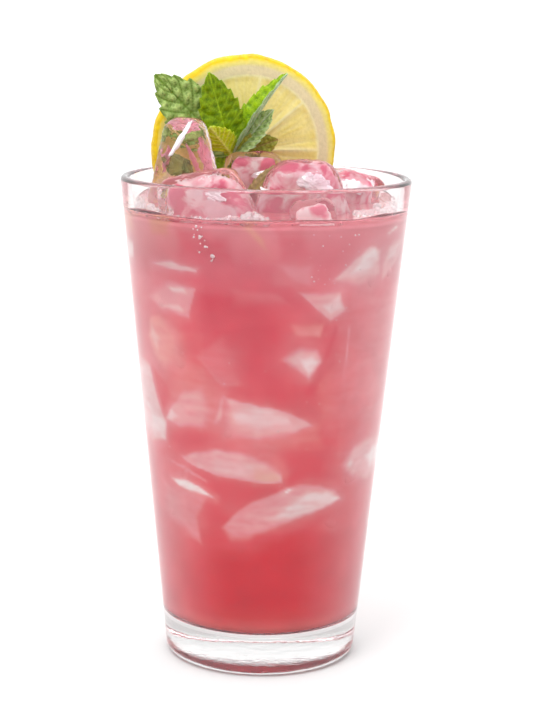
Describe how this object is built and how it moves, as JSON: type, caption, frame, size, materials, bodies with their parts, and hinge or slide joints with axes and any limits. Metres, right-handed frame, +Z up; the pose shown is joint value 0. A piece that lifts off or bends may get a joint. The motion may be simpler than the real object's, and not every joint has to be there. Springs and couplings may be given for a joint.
{
  "type": "glass of pink lemonade",
  "caption": "Tapered clear tumbler of pink lemonade with ice that breaks the surface, a lemon wheel standing behind the ice and a sprig of mint.",
  "frame": {"origin": "middle of the tumbler's foot, on the table", "axes": "+Z up along the tumbler's axis, -Y towards the viewer of the picture, +X to the viewer's right"},
  "size_m": [0.0888, 0.0888, 0.1861],
  "materials": {
    "clear_glass": "clear, polished, a little worn at the foot",
    "lemonade": "cloudy pink drink with a wet surface",
    "ice": "clear wet ice with a little white haze",
    "lemon": "wet cut flesh, pale pith and yellow peel",
    "mint": "fresh quilted leaf, paler underneath"
  },
  "bodies": {
    "root": {"glass": "clear_glass", "lemonade": "lemonade", "ice_left": "ice", "ice_front_left": "ice", "ice_middle": "ice", "ice_front_right": "ice", "ice_front": "ice", "ice_right": "ice", "lemon_wheel": "lemon", "mint_sprig": "mint", "mint_leaf_loose": "mint"}
  },
  "joints": []
}
